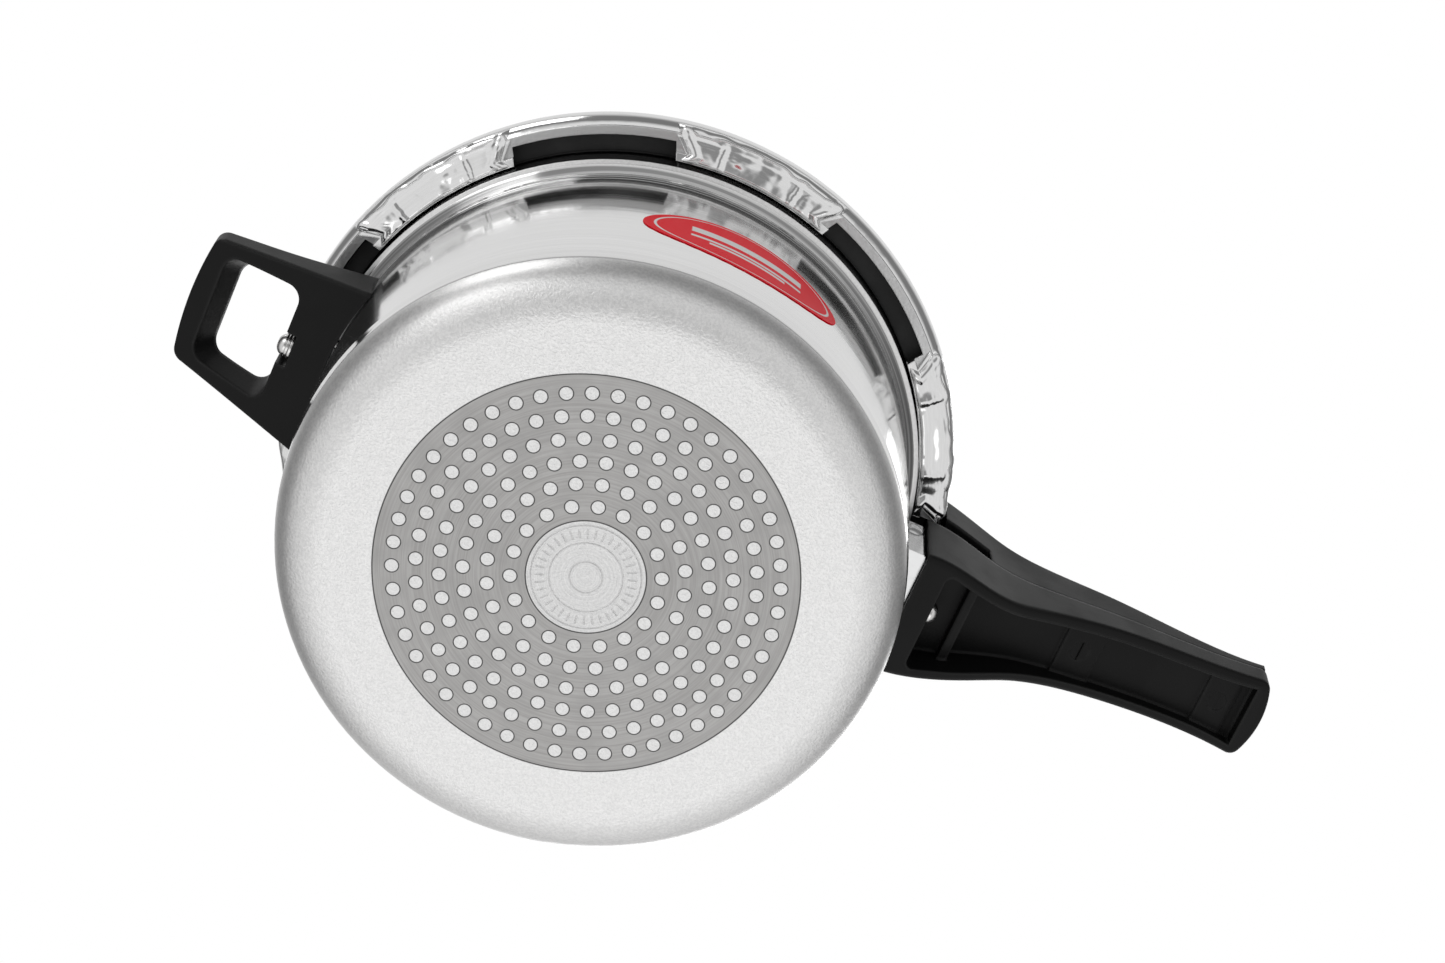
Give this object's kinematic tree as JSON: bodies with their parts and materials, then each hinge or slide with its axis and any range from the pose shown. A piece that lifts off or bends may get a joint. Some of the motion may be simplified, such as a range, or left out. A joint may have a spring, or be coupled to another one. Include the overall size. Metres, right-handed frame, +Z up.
{
  "type": "stovetop pressure cooker",
  "caption": "Stovetop pressure cooker with an outer lug-locking lid, long and helper handles, a lid gasket, a vent weight, a safety valve and a perforated induction base.",
  "frame": {"origin": "centre of the flat underside of the vessel, where it rests on the hob", "axes": "+Z up along the vessel axis towards the lid, +X out along the two long handles, which is the longest extent"},
  "size_m": [0.4454, 0.2616, 0.2223],
  "materials": {
    "aluminium_body": "satin blasted base, bright spun wall",
    "aluminium_lid": "bright buffed pressing",
    "plate_steel": "circular-brushed stainless",
    "bracket_steel": "bright rolled stainless sheet",
    "fastener_steel": "bright plated steel",
    "bakelite": "fine matte moulded phenolic",
    "label_red": "printed film, lacquered",
    "gasket_rubber": "moulded black rubber",
    "fitting_chrome": "polished plated brass",
    "fitting_brass": "turned brass",
    "fusible_alloy": "low-melting alloy"
  },
  "bodies": {
    "vessel": {"vessel": "aluminium_body", "induction_plate": "plate_steel", "front_label": "label_red", "body_bracket": "bracket_steel", "body_bracket_rivets": "fastener_steel", "body_bracket_nut": "fastener_steel", "body_handle": "bakelite", "body_handle_washer": "fastener_steel", "body_handle_screw": "fastener_steel", "helper_handle": "bakelite", "helper_bracket": "bracket_steel", "helper_bracket_rivets": "fastener_steel", "helper_nut": "fastener_steel", "helper_washers": "fastener_steel", "helper_screw": "fastener_steel"},
    "lid": {"lid": "aluminium_lid", "lid_gasket": "gasket_rubber", "lid_bracket": "bracket_steel", "lid_bracket_rivets": "fastener_steel", "lid_handle": "bakelite", "lid_handle_screws": "fastener_steel", "vent_washer": "gasket_rubber", "vent_tube": "fitting_chrome", "vent_nut": "fitting_brass", "valve_washer": "gasket_rubber", "safety_valve": "fitting_brass", "valve_nut": "fitting_brass", "fusible_plug": "fusible_alloy"},
    "regulator_sleeve": {"regulator_sleeve": "fitting_brass"},
    "regulator_weight": {"regulator_weight": "fitting_chrome", "regulator_needle": "fastener_steel", "regulator_knob": "bakelite"}
  },
  "joints": [
    {"name": "lid_turn", "type": "hinge", "parent": "vessel", "child": "lid", "pos_m": [0, 0, 0.135], "axis": [0, 0, 1], "range_deg": [0, 30]},
    {"name": "regulator_lift", "type": "slide", "parent": "lid", "child": "regulator_sleeve", "axis": [0, 0, 1], "range_m": [0, 0.032]},
    {"name": "regulator_spin", "type": "hinge", "parent": "regulator_sleeve", "child": "regulator_weight", "pos_m": [0, 0, 0.2], "axis": [0, 0, 1], "continuous": true}
  ]
}
